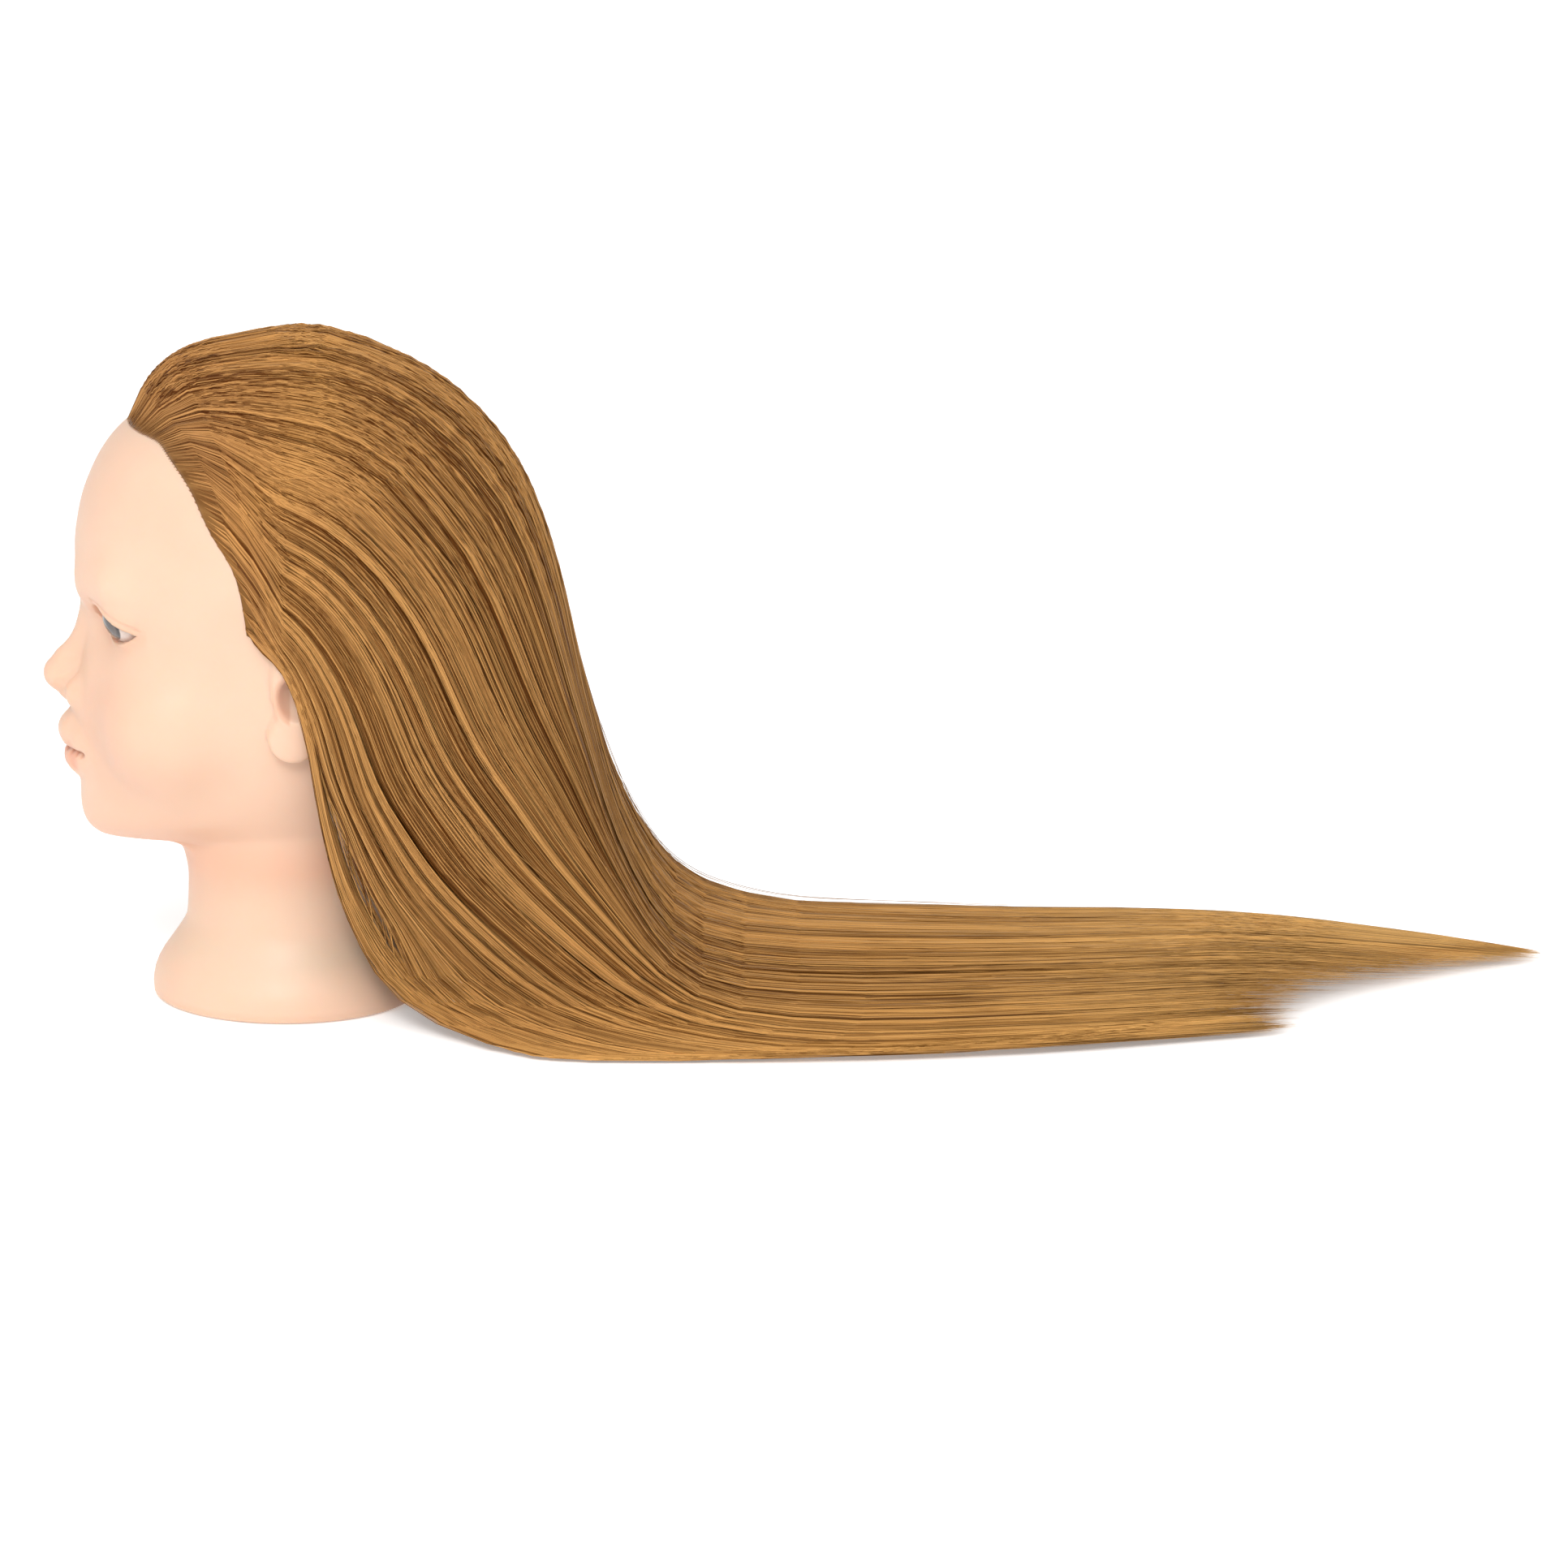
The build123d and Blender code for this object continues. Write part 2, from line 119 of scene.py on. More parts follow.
def make_mesh(name, points, faces, material, layers=()):
    """A mesh piece from points in millimetres. Layers are (name, one value for each point)."""
    mesh = bpy.data.meshes.new(name)
    sides = faces.shape[1]
    mesh.vertices.add(len(points))
    mesh.vertices.foreach_set("co", (points * MM).astype(np.float32).ravel())
    mesh.loops.add(faces.size)
    mesh.loops.foreach_set("vertex_index", faces.astype(np.int32).ravel())
    mesh.polygons.add(len(faces))
    mesh.polygons.foreach_set("loop_start", np.arange(0, faces.size, sides, dtype=np.int32))
    mesh.polygons.foreach_set("use_smooth", np.ones(len(faces), bool))
    for layer, values in layers:
        data = mesh.attributes.new(layer, "FLOAT", "POINT").data
        data.foreach_set("value", values.astype(np.float32).ravel())
    mesh.update(calc_edges=True)
    mesh.validate()
    piece = bpy.data.objects.new(name, mesh)
    bpy.context.collection.objects.link(piece)
    mesh.materials.append(material)
    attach(piece, "root")
    return piece


def linear(red, green, blue):
    """A colour given in 0 to 255 screen values, as linear light."""
    c = np.array([red, green, blue]) / 255
    c = np.where(c <= 0.04045, c / 12.92, ((c + 0.055) / 1.055) ** 2.4)
    return (*c.tolist(), 1.0)


# ---- materials -----------------------------------------------------------------------------------


class Nodes:
    """A short way to write a material's node tree."""

    def __init__(self, name):
        self.material = bpy.data.materials.new(name)
        self.material.use_nodes = True
        self.tree = self.material.node_tree
        self.shader = self.tree.nodes["Principled BSDF"]

    def add(self, kind, links=(), **values):
        node = self.tree.nodes.new(kind)
        for key, value in values.items():
            setattr(node, key, value)
        for socket, source in dict(links).items():
            self.plug(node.inputs[socket], source)
        return node

    def plug(self, socket, source):
        if isinstance(source, bpy.types.NodeSocket):
            self.tree.links.new(source, socket)
        else:
            socket.default_value = source

    def set(self, **values):
        for key, value in values.items():
            self.plug(self.shader.inputs[key.replace("_", " ")], value)

    def layer(self, name):
        return self.add("ShaderNodeAttribute", attribute_name=name).outputs["Fac"]

    def place(self):
        return self.add("ShaderNodeTexCoord").outputs["Object"]

    def noise(self, scale, detail=3.0):
        links = {"Vector": self.place(), "Scale": scale, "Detail": detail}
        return self.add("ShaderNodeTexNoise", links).outputs["Fac"]

    def math(self, operation, a, b=0.0):
        return self.add("ShaderNodeMath", {0: a, 1: b}, operation=operation).outputs[0]

    def ramp(self, fac, *stops):
        node = self.add("ShaderNodeValToRGB", {"Fac": fac})
        elements = node.color_ramp.elements
        while len(elements) < len(stops):
            elements.new(0.5)
        for element, (position, colour) in zip(elements, stops):
            element.position = position
            element.color = colour
        return node.outputs["Color"]

    def mix(self, fac, a, b):
        node = self.add("ShaderNodeMix", data_type="RGBA")
        self.plug(node.inputs[0], fac)
        self.plug(node.inputs[6], a)
        self.plug(node.inputs[7], b)
        return node.outputs[2]

    def bump(self, height, strength, distance):
        node = self.add("ShaderNodeBump", {"Height": height, "Strength": strength, "Distance": distance})
        self.plug(self.shader.inputs["Normal"], node.outputs["Normal"])


def skin_material():
    n = Nodes("soft_vinyl_skin")
    tone = n.ramp(n.noise(18, 2), (0.35, linear(212, 176, 152)), (0.65, linear(216, 182, 158)))
    # Cheek colour, with painted shade under the chin and a pinker, darker tone round the eye opening.
    tone = n.mix(n.math("MULTIPLY", n.layer("blush_and_shade"), 0.75), tone, linear(211, 150, 121))
    tone = n.mix(n.math("MULTIPLY", n.layer("lips"), 0.55), tone, linear(208, 136, 110))
    # Painted shade: dark brown in the lid edge, the mouth line and the ear's bowl.
    tone = n.mix(n.layer("crease_shade"), tone, linear(172, 104, 72))
    rough = n.add("ShaderNodeMapRange", {"Value": n.noise(350, 2), "To Min": 0.40, "To Max": 0.50}).outputs[0]
    n.set(Base_Color=tone, Roughness=rough, Subsurface_Weight=0.35, Subsurface_Scale=0.012)
    n.set(Subsurface_Radius=(1.0, 0.45, 0.25), IOR=1.45, Specular_IOR_Level=0.4)
    n.bump(n.noise(900, 2), 0.06, 0.0002)
    return n.material


def hair_material(name, shade):
    """Glossy fibre, reddish at the root and paler towards the tip, its root darkening partly painted shade;
    shade darkens a whole layer with painted shade.
    """
    n = Nodes(name)
    along = n.layer("along")
    tint = n.layer("tint")
    # The dark, reddish root stops are partly the fibre's own colour and partly painted shade.
    warm = n.ramp(
        along,
        (0.0, linear(112, 44, 10)),
        (0.06, linear(124, 56, 14)),
        (0.13, linear(128, 70, 24)),
        (0.35, linear(126, 72, 26)),
        (0.6, linear(134, 80, 30)),
        (0.75, linear(170, 116, 50)),
        (1.0, linear(240, 190, 112)),
    )
    tone = n.mix(tint, n.mix(0.78, warm, linear(58, 24, 4)), n.mix(0.5, warm, linear(232, 180, 112)))
    # Painted shade: shade mixes the whole layer towards dark brown.
    tone = n.mix(shade, tone, linear(46, 24, 8))
    rough = n.add("ShaderNodeMapRange", {"Value": along, "To Min": 0.24, "To Max": 0.42}).outputs[0]
    n.set(Base_Color=tone, Roughness=rough, IOR=1.5, Specular_IOR_Level=0.7)
    n.set(Specular_Tint=linear(255, 190, 104))
    return n.material


def plain_material(name, colour_a, colour_b, scale, roughness, bump=0.1, metallic=0.0):
    """Moulded plastic or metal with slight mottling and a fine grain."""
    n = Nodes(name)
    grain = n.noise(scale, 4)
    limits = {"Value": grain, "To Min": roughness - 0.06, "To Max": roughness + 0.08}
    rough = n.add("ShaderNodeMapRange", limits).outputs[0]
    n.set(Base_Color=n.ramp(grain, (0.35, colour_a), (0.65, colour_b)), Roughness=rough)
    n.set(Metallic=metallic)
    n.bump(n.noise(scale * 6, 2), bump, 0.0003)
    return n.material


# ---- the head's form -----------------------------------------------------------------------------
# Outlines of the head above the neck, each by height: the front, the back, the half width and the Y
# of the widest place.
FRONT = curve(
    [(62, -60), (64.5, -70), (68, -78), (73, -82.9), (81, -85), (91, -85.2), (105, -86.3),
     (122, -87.5), (134, -86), (144, -84), (153, -82.8), (162, -82.8), (172, -84.9), (190, -86.4),
     (207, -84.2), (224, -78.2), (236, -70.6), (241, -65.4), (250, -55.2), (260, -42.5),
     (268, -27), (273.5, -12), (276, 4)], 2.0)
BACK = curve(
    [(62, 30), (70, 38), (80, 46), (98, 56), (122, 69), (146, 84), (170, 92.5), (192, 94.8),
     (214, 90), (230, 82), (246, 69), (260, 52), (269, 36), (274, 20), (276, 8)], 3.0)
HALF = curve(
    [(62, 6), (66, 14), (70, 26), (74, 35.5), (80, 44), (88, 50), (98, 54.5), (122, 61.5),
     (146, 65.5), (165, 67.5), (192, 71.5), (214, 72.5), (230, 69), (246, 60), (260, 46),
     (269, 30.5), (274, 16), (276, 4)], 3.0)
WIDEST = curve([(62, -18), (80, -8), (98, -2), (122, 3), (170, 9), (214, 12), (276, 8)], 4.0)
# The same for the neck and foot, whose widest place is at Y = 0.
NECK_FRONT = curve(
    [(0, -55.6), (4, -56), (10, -55.2), (16, -52.6), (24, -47), (34, -41.6), (50, -41),
     (66, -43.6), (110, -47)], 1.5)
NECK_BACK = curve(
    [(0, 55), (4, 55.5), (10, 54.4), (16, 51), (24, 45.5), (34, 41), (50, 41), (66, 43),
     (110, 47)], 1.5)
NECK_HALF = curve(
    [(0, 54.5), (4, 55), (10, 54), (16, 51), (24, 45.5), (34, 41), (50, 39.5), (66, 41.5),
     (110, 46)], 1.5)
NECK_HIGH = 110.0
NECK_BLEND = 9.0
HEAD_LOW, HEAD_HIGH = 68.0, 276.0
EYE = np.array([30.0, -60.5, 168.5])
EYE_R = 13.3
LID_R = 14.6
EYE_TURN = (26.0, -20.0)  # degrees outwards and up
IRIS_ANGLE = 32.0  # degrees from the middle of the iris to its rim
CORNEA_BULGE = 0.4
OPENING_X = 1.0  # how far the lid opening is shifted outwards from the middle of the eye
OPENING_Z = 163.5
OPENING_TILT = 0.12
OPENING_ARC, OPENING_RISE = 16.5, 7.0  # radius of each lid's edge, and half the opening's height
MOUTH_Z, MOUTH_SLOPE = 105.2, 0.03
EAR_BOWL = (76, 7.2, 142)


def section(p, front, back, half, widest):
    """About the distance from the outline of a horizontal section."""
    reach = np.where(p[..., 1] < widest, widest - front, back - widest)
    x, y = p[..., 0] / half, (p[..., 1] - widest) / reach
    return (np.sqrt(x * x + y * y) - 1) * np.minimum(half, reach)


def scalp(p):
    """The head above the neck, without its features."""
    z = np.clip(p[..., 2], HEAD_LOW, HEAD_HIGH)
    d = section(p, FRONT(z), BACK(z), HALF(z), WIDEST(z))
    over = np.maximum(HEAD_LOW - p[..., 2], p[..., 2] - HEAD_HIGH)
    return np.hypot(np.maximum(d, 0), np.maximum(over, 0)) + np.minimum(np.maximum(d, over), 0)


def neck(p):
    z = np.clip(p[..., 2], 0, NECK_HIGH)
    d = section(p, NECK_FRONT(z), NECK_BACK(z), NECK_HALF(z), 0.0)
    over = np.maximum(p[..., 2] - NECK_HIGH, 0)
    return np.hypot(np.maximum(d, 0), over) + np.minimum(d, 0)


def almond(p):
    """Negative inside the opening between the lids, looking along Y, with the eyes mirrored."""
    x = np.abs(p[..., 0]) - EYE[0] - OPENING_X
    z = p[..., 2] - OPENING_Z + OPENING_TILT * x
    arc, rise = OPENING_ARC, OPENING_RISE
    return np.maximum(np.hypot(x, z + arc - rise), np.hypot(x, z - arc + rise)) - arc


def above_mouth(m):
    """Height above the line between the lips."""
    return m[..., 2] - MOUTH_Z + MOUTH_SLOPE * m[..., 0]


def head(p):
    """The vinyl skin with its features."""
    m = p.copy()
    m[..., 0] = np.abs(m[..., 0])
    d = union(scalp(m), neck(m), NECK_BLEND)
    d = union(d, ball(m, (40, -46, 122), (23, 25, 26)), 14.0)  # cheek
    d = union(d, ball(m, (0, -72, 108), (16, 18.3, 15)), 6.0)  # muzzle
    d = carve(d, ball(m, (32, -88, 161), (17, 18, 12)), 10.0)  # eye socket
    d = union(d, rod(m, [(14, -74, 178, 7), (34, -66, 181, 8)]), 12.0)  # brow
    nose = rod(m, [(0, -77.8, 163, 5), (0, -83.4, 150, 4.6), (0, -89.6, 140.5, 6.2),
                   (0, -92.3, 135.5, 7.2), (0, -89, 130, 5.5)])
    nose = union(nose, ball(m, (9.0, -83.6, 129), (5.4, 6.6, 5.8)), 2.8)
    d = union(d, nose, 5.5)
    upper = rod(m, [(0, -87.6, 112.4, 6.2), (5, -86.3, 112.2, 5.8), (12, -82.6, 110.2, 4.2),
                    (19, -77.5, 107.2, 2.0)])
    lower = rod(m, [(0, -86.6, 99.8, 4.4), (6, -85.2, 100.1, 4.1), (12, -82.2, 101.6, 3.2),
                    (19, -77.8, 104.6, 1.6)])
    d = union(d, union(upper, lower, 0.6), 5.0)
    groove = np.exp(-((above_mouth(m) / 0.9) ** 2)) * (1 - smooth_step(16, 19.5, m[..., 0]))
    d = d + 1.5 * groove * (m[..., 1] < -60)
    lids = np.linalg.norm(m - EYE, axis=-1) - LID_R
    d = union(d, lids, 3.0)
    groove = np.exp(-(((almond(m) - 2.4) / 0.8) ** 2)) * (m[..., 2] > OPENING_Z + 1) * (np.abs(lids) < 5)
    d = d + 0.4 * groove
    inside = np.maximum(almond(m), EYE_R - 0.3 - np.linalg.norm(m - EYE, axis=-1))
    inside = np.maximum(inside, m[..., 1] - EYE[1] - 2)
    d = carve(d, inside, 0.4)
    return union(d, ear(m), 3.5)


def ear(m):
    lobe = ball(m, (65.2, 5, 124), (3.8, 10.5, 10))
    plate = ball(m, (68.5, 9, 147), (5.5, 13, 22))
    body = union(lobe, plate, 3.0)
    return carve(body, ball(m, EAR_BOWL, (9.0, 9.8, 10.4)), 1.2)


def march(origin, way, form, near, far, steps=34):
    """The outermost crossing of a form along each ray, walked inwards from far outside."""
    t = np.full(way.shape[:-1], float(far))
    for _ in range(steps):
        t = t - np.clip(0.8 * form(origin + t[..., None] * way), -2.0, 30.0)
        t = np.clip(t, near, far)
    return t


# The rays that find the skin, from the crown down to the foot: place in the grid, height at which
# the ray starts, and degrees by which it rises.
RAYS = [(0.0, 168, 89.5), (0.1, 168, 60), (0.18, 168, 44), (0.30, 168, 15), (0.62, 168, -32),
        (0.74, 164, -50), (0.80, 150, -58.5), (0.85, 128, -58), (0.90, 95, -49), (0.94, 60, -28),
        (0.97, 38, -14), (1.0, 3.5, -2)]
# The trimmed rim, as a share of the foot's width and a height: round the edge, in under it, then
# up inside the neck to a hidden roof.
RIM = [(0.995, 1.2), (0.975, 0.2), (0.94, 0.0), (0.79, 0.0), (0.785, 2.9), (0.92, 3.2), (0.93, 8),
       (0.82, 22), (0.68, 34), (0.66, 78), (0.30, 80), (0.01, 80)]


def paint_layers(points):
    """How much lip colour, cheek colour with painted shade, and painted shade in hollows each point of the
    skin gets.
    """
    m = points.copy()
    m[:, 0] = np.abs(m[:, 0])
    upper = rod(m, [(0, -91, 108.0, 2.6), (10, -86, 107.2, 2.2), (18, -79, 105.4, 0.8)])
    lower = rod(m, [(0, -89, 100.8, 4.2), (10, -85, 101.4, 3.4), (18, -79, 104.4, 1.0)])
    lips = 1 - smooth_step(-0.5, 2.6, np.minimum(upper, lower))
    blush_and_shade = np.exp(-((ball(m, (36, -70, 118), (20, 20, 18)) + 6) / 14) ** 2) * 0.3  # cheek
    # Painted shade under the chin.
    blush_and_shade += np.exp(-((m[:, 2] - 62) / 14) ** 2) * 0.5 * (m[:, 1] < 20)  # under the chin
    # A pinker, darker tone round the eye opening.
    blush_and_shade += 0.4 * np.exp(-((almond(m) / 5) ** 2)) * (m[:, 1] < -55)  # round the eye
    # Painted shade along the edge of the eye opening, in the mouth line and in the ear's bowl.
    crease_shade = np.exp(-((almond(m) + 0.1) / 0.5) ** 2) * (m[:, 1] < -58) * 0.35
    mouth = np.exp(-((above_mouth(m) / 0.7) ** 2)) * (1 - smooth_step(17, 19.5, m[:, 0]))
    crease_shade += 0.8 * mouth * (m[:, 1] < -60)
    bowl = np.abs(ball(m, EAR_BOWL, (9.6, 10.3, 11.0)))
    crease_shade += 0.4 * (1 - smooth_step(0, 2.2, bowl)) * (m[:, 1] < 4) * (m[:, 0] > 60)
    return [("lips", lips), ("blush_and_shade", np.clip(blush_and_shade, 0, 1)), ("crease_shade", np.clip(crease_shade, 0, 1))]


def head_skin(material):
    """The skin as one grid of crossings, with more rows and columns at the face and the ears."""
    rows, columns = 300, 320
    w = spread(rows, [(0.40, 0.05, 1.6), (0.55, 0.09, 0.8), (0.80, 0.05, 0.5)], 0, 1)
    height = curve([(a, b) for a, b, _ in RAYS], 0.01)(w)
    elevation = np.radians(curve([(a, c) for a, _, c in RAYS], 0.01)(w))
    peaks = [(24, 9, 3.2), (-24, 9, 3.2), (0, 12, 3.0), (90, 12, 1.6), (-90, 12, 1.6), (0, 50, 1.0)]
    turn = np.radians(spread(columns + 1, peaks, -180, 180)[:-1])
    way = np.stack(
        [
            np.sin(turn)[None, :] * np.cos(elevation)[:, None],
            -np.cos(turn)[None, :] * np.cos(elevation)[:, None],
            np.repeat(np.sin(elevation)[:, None], columns, 1),
        ],
        -1,
    )
    origin = np.stack([np.zeros_like(height), 5 * smooth_step(60, 168, height), height], -1)[:, None, :]
    t = march(origin, way, head, 5, 150)
    grid = origin + t[..., None] * way
    foot = grid[-1]
    rim = []
    for ratio, z in RIM:
        ring = foot * [ratio, ratio, 0]
        ring[:, 2] = z
        rim.append(ring)
    grid = np.concatenate([grid, np.array(rim)])
    count = len(grid)
    index = np.arange(count * columns).reshape(count, columns)
    right = np.roll(index, -1, 1)
    quads = np.stack([index[:-1], index[1:], right[1:], right[:-1]], -1).reshape(-1, 4)
    points = grid.reshape(-1, 3)
    return make_mesh("vinyl_head", points, quads, material, paint_layers(points))


# ---- eyes ----------------------------------------------------------------------------------------
def gaze_of(side):
    """The way that one eye looks."""
    turn, lift = np.radians(EYE_TURN)
    return (side * sin(turn) * cos(lift), -cos(turn) * cos(lift), sin(lift))


def eye_material(side):
    """Pupil, iris and white, painted by the angle from the way the eye looks."""
    n = Nodes(f"painted_eye_{'left' if side > 0 else 'right'}")
    centre = [side * EYE[0] * MM, EYE[1] * MM, EYE[2] * MM]
    gaze = gaze_of(side)
    local = n.add("ShaderNodeVectorMath", {0: n.place(), 1: centre}, operation="SUBTRACT").outputs[0]
    unit = n.add("ShaderNodeVectorMath", {0: local}, operation="NORMALIZE").outputs[0]
    facing = n.add("ShaderNodeVectorMath", {0: unit, 1: gaze}, operation="DOT_PRODUCT").outputs["Value"]
    angle = n.math("ARCCOSINE", facing)
    part = n.math("DIVIDE", angle, radians(IRIS_ANGLE))
    fibre = n.add("ShaderNodeTexNoise", {"Vector": unit, "Scale": 14.0, "Detail": 4.0}).outputs["Fac"]
    wave = {"Vector": unit, "Scale": 9.0, "Distortion": 12.0, "Detail": 3.0}
    rays = n.add("ShaderNodeTexWave", wave).outputs["Fac"]
    iris = n.ramp(
        part,
        (0.0, linear(20, 17, 17)),
        (0.30, linear(24, 20, 20)),
        (0.38, linear(60, 52, 50)),
        (0.72, linear(88, 78, 74)),
        (0.86, linear(50, 42, 40)),
        (1.0, linear(24, 18, 17)),
    )
    iris = n.mix(n.math("MULTIPLY", rays, 0.2), iris, linear(150, 142, 136))
    iris = n.mix(n.math("MULTIPLY", fibre, 0.25), iris, linear(60, 64, 74))
    white = n.ramp(fibre, (0.3, linear(196, 178, 168)), (0.7, linear(206, 190, 182)))
    edge = n.add("ShaderNodeMapRange", {"Value": part, "From Min": 0.97, "From Max": 1.05}).outputs[0]
    n.set(Base_Color=n.mix(edge, iris, white), Roughness=0.12, Coat_Weight=0.4, Coat_Roughness=0.03, IOR=1.4)
    return n.material


def eye_globe(side):
    """A polished globe with a slight bulge over the iris."""
    rows, columns = 60, 96
    gaze = np.array(gaze_of(side))
    across = np.cross(gaze, [0, 0, 1.0])
    across /= np.linalg.norm(across)
    up = np.cross(across, gaze)
    tilt = np.linspace(0.001, pi - 0.001, rows)[:, None]
    around = np.linspace(0, 2 * pi, columns, endpoint=False)[None, :]
    radius = EYE_R + CORNEA_BULGE * np.exp(-((tilt / radians(26)) ** 4))
    grid = (
        np.cos(tilt)[..., None] * gaze
        + (np.sin(tilt) * np.cos(around))[..., None] * across
        + (np.sin(tilt) * np.sin(around))[..., None] * up
    ) * radius[..., None] + EYE * [side, 1, 1]
    index = np.arange(rows * columns).reshape(rows, columns)
    right = np.roll(index, -1, 1)
    quads = np.stack([index[:-1], right[:-1], right[1:], index[1:]], -1).reshape(-1, 4)
    name = "left" if side > 0 else "right"
    piece = make_mesh(f"eye_globe_{name}", grid.reshape(-1, 3), quads, eye_material(side))
    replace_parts(piece, f"eye_shell_{name}", f"eye_iris_{name}", f"eye_pupil_{name}", f"eye_cornea_{name}")
    return piece


# ---- the way the hair runs -----------------------------------------------------------------------
# Stations along the hair: the middle line (x, y, z), the near edge (x, y, z), how far the mass
# bulges out beyond its edge, and how early a strand gives way backwards.
STATIONS = [
    ((0, -63, 244), (66.5, -14, 166), 0.5, 0.75),
    ((0, -46, 264), (70, -8.5, 163), 2, 0.75),
    ((0, -21, 274), (74, -3, 159), 2, 0.75),
    ((0, 5, 277.5), (76.5, 2, 153), 3, 0.75),
    ((0, 34, 274.5), (77.5, 6, 145), 4.5, 0.75),
    ((0, 63.5, 262), (77.5, 8.5, 136), 6, 0.8),
    ((0, 93, 232), (76.5, 10.5, 126), 8, 0.9),
    ((0, 107, 200), (75, 12, 115), 10, 1.05),
    ((0, 115.5, 167), (72.5, 13.5, 104), 12.5, 1.2),
    ((0, 120.5, 140), (70.5, 15, 93), 15, 1.45),
    ((0, 126, 117), (69, 17, 82), 17, 1.8),
    ((0, 131, 96), (67, 19.5, 70), 19.5, 2.2),
    ((0, 138, 75), (65, 23, 56), 22, 2.8),
    ((0, 147, 56), (63, 29.5, 39), 25, 3.7),
    ((0, 159, 38), (62, 37.5, 23), 27, 4.6),
    ((0, 178, 27.5), (70, 54, 9), 23, 5.0),
    ((0, 208, 24), (95, 81, 3.5), 8, 5.0),
    ((0, 249, 23), (111, 108, 1.5), 2, 5.0),
    ((-2, 290, 22), (112, 150, 1.5), 0, 4.5),
    ((-6, 330, 21.5), (107, 195, 1.5), 0, 4.0),
    ((-11, 370, 21.5), (99, 240, 1.5), 0, 3.5),
    ((-16, 410, 19.5), (87, 290, 1.5), 0, 3.0),
    ((-22, 452, 14), (76, 340, 1.5), 0, 2.4),
    ((-30, 492, 9), (66, 385, 1.5), 0, 1.8),
    ((-38, 527, 3), (53, 425, 1.5), 0, 1.4),
]
# The far edge of the lying hair, at the last stations. Before them it mirrors the near edge.
FAR_TAIL = [(-76, 80, 5), (-86, 110, 4), (-90, 155, 4), (-90, 205, 4), (-87, 262, 3.5),
            (-82, 322, 3), (-74, 382, 3), (-62, 442, 2.5), (-50, 500, 2)]
# The hairline: u, the point where the hair is rooted, and how far it goes in one station.
ROOTS = [
    (0.0, (0, -63.5, 241.5), (0, 5.5, 19.5)),
    (0.12, (10, -62, 241.3), (1, 6.5, 19.5)),
    (0.3, (22, -57, 240.3), (3, 10, 17)),
    (0.5, (34, -48.5, 238.5), (5, 13, 13.5)),
    (0.68, (44, -39.5, 230), (6, 16, 7)),
    (0.8, (52, -32, 221), (6, 15, 2)),
    (0.9, (60, -24.5, 206), (4, 11, -5)),
    (0.95, (65.5, -16.5, 191), (3.5, 7, -6)),
    (1.0, (67.5, -13.5, 166), (2, 4, -5)),
]
LAST = len(STATIONS) - 1.0
CORE = np.array([0.0, 5.0, 175.0])


def curves_of(at, rows, soften):
    """One smooth function for each column."""
    rows = np.array(rows, float)
    return [curve(list(zip(at, column)), soften) for column in rows.T]


def follow(curves, place):
    return np.stack([f(place) for f in curves], -1)


SMOOTHING = 0.35  # in stations

STEPS = np.arange(len(STATIONS))
MIDDLE = curves_of(STEPS, [s[0] for s in STATIONS], SMOOTHING)
NEAR_ROWS = np.array([s[1] for s in STATIONS], float)
FAR_ROWS = NEAR_ROWS * [-1, 1, 1]
FAR_ROWS[-len(FAR_TAIL):] = FAR_TAIL
NEAR = curves_of(STEPS, NEAR_ROWS, SMOOTHING)
FAR = curves_of(STEPS, FAR_ROWS, SMOOTHING)
BULGE, GIVE = curves_of(STEPS, [s[2:] for s in STATIONS], SMOOTHING)
ROOT = curves_of([r[0] for r in ROOTS], [r[1] for r in ROOTS], 0.01)
LEAVE = curves_of([r[0] for r in ROOTS], [r[2] for r in ROOTS], 0.02)


def route(u, s, depth):
    """A point of the hair: u is -1 at the far edge, 0 in the middle and 1 at the near edge; s runs
    along the stations; depth is 0 on top and 1 at the bottom of the mass."""
    near = u >= 0
    turn = np.where(near, 1.0, -1.0)
    amount = np.abs(u)
    middle = follow(MIDDLE, s)
    edge = np.where(near[..., None], follow(NEAR, s), follow(FAR, s))
    half = np.abs(edge[..., 0] - middle[..., 0])
    widest = half + 0.01 + BULGE(s)
    start = -np.arccos(np.clip(half / widest, -1, 1))
    angle = pi / 2 + (start - pi / 2) * amount
    rise = (np.sin(angle) - np.sin(start)) / (1 - np.sin(start))
    back = 1 - (1 - np.clip(rise, 0, 1)) ** GIVE(s)
    lying = smooth_step(14, 18, s)
    shrink = 1 - 0.20 * (1 - lying) * smooth_step(3, 9, s) * depth
    x = middle[..., 0] + turn * widest * np.cos(angle) * shrink
    y = edge[..., 1] + (middle[..., 1] - edge[..., 1]) * back * shrink
    z = edge[..., 2] + (middle[..., 2] - edge[..., 2]) * rise * shrink
    z = z * (1 - 0.88 * depth * lying)
    root = follow(ROOT, amount) + follow(LEAVE, amount) * s[..., None]
    root[..., 0] *= turn
    early = (1 - smooth_step(0, 3, s))[..., None]
    return np.stack([x, y, z], -1) * (1 - early) + root * early


def under_hair(p):
    """What the hair lies on: the head with a smooth swelling over each ear."""
    m = p.copy()
    m[..., 0] = np.abs(m[..., 0])
    return union(union(scalp(m), neck(m), NECK_BLEND), ball(m, (68, 14, 146), (9.0, 15, 27)), 8.0)


REACH_STEP = 1.5  # degrees


